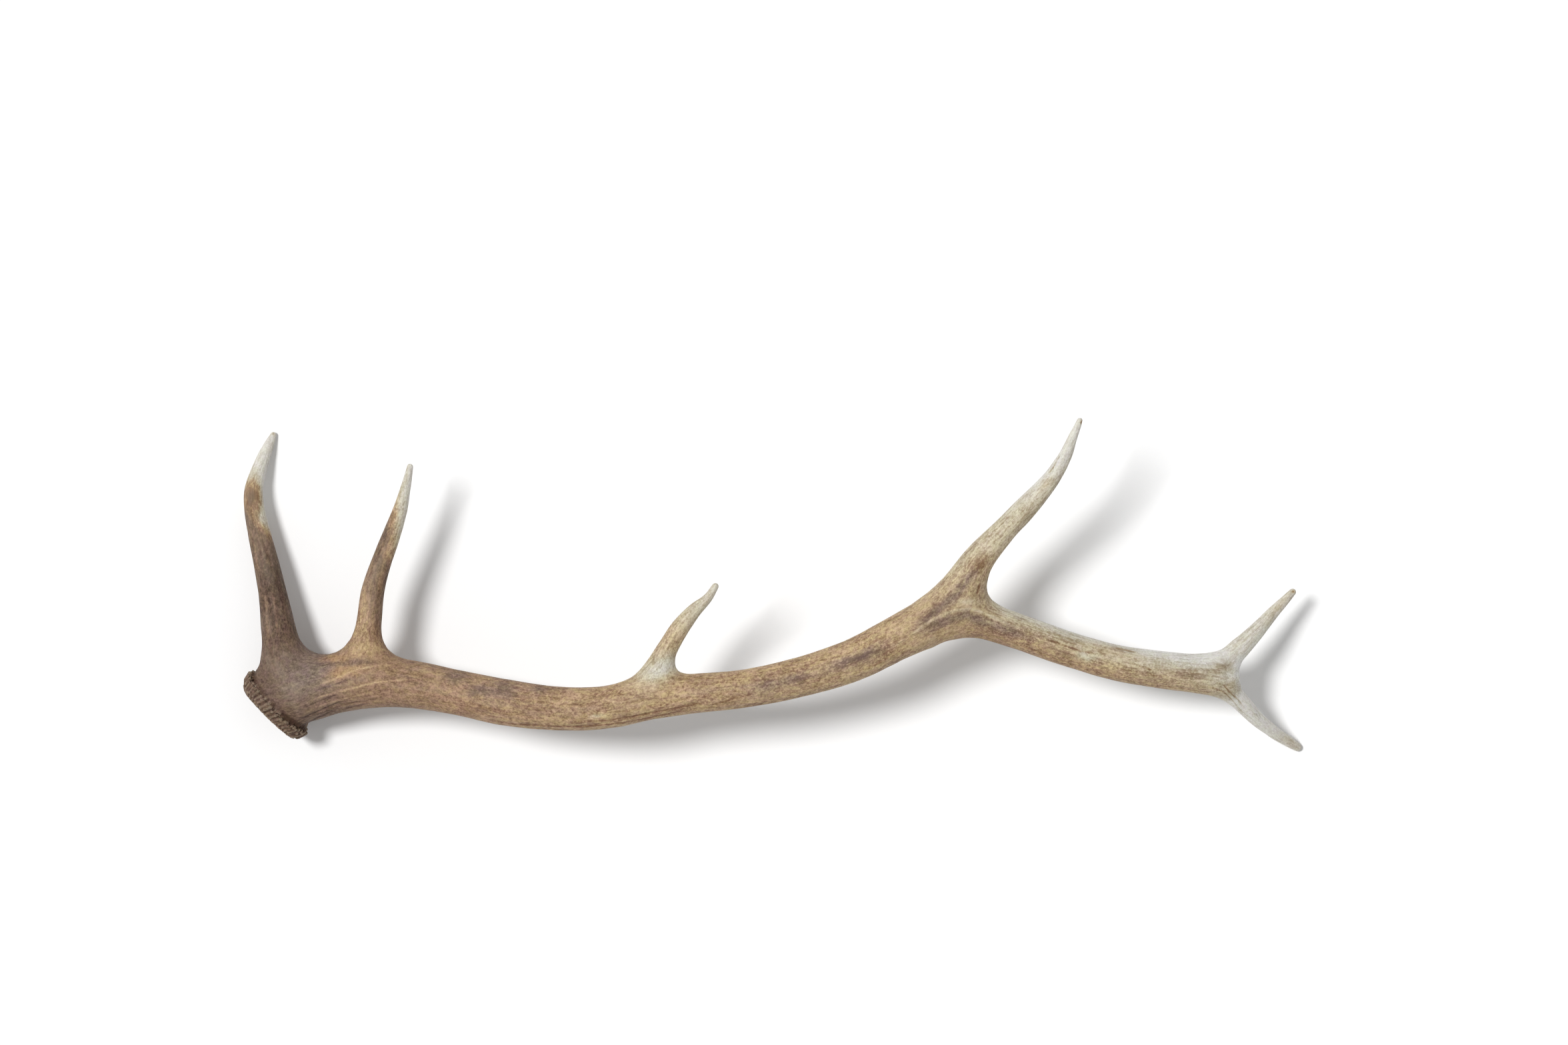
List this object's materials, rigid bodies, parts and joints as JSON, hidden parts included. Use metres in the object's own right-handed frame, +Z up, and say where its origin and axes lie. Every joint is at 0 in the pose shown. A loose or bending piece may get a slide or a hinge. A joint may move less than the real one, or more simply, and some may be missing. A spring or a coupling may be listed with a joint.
{
  "type": "deer antler",
  "caption": "Shed deer antler with a curved main beam, a knobbly burr at its foot and slender tines that fork from one side, lying on its inner side.",
  "frame": {"origin": "the surface that the antler lies on, under the middle of its box", "axes": "+X along the antler from the burr towards the crown, +Y the way the lower tines point, +Z up from the surface"},
  "size_m": [1.0386, 0.3222, 0.1828],
  "materials": {
    "antler": "matte"
  },
  "bodies": {
    "root": {"beam": "antler", "brow_tine": "antler", "bez_tine": "antler", "trez_tine": "antler", "royal_tine": "antler", "upper_beam": "antler", "upper_terminal_tine": "antler", "lower_terminal_tine": "antler"}
  },
  "joints": []
}
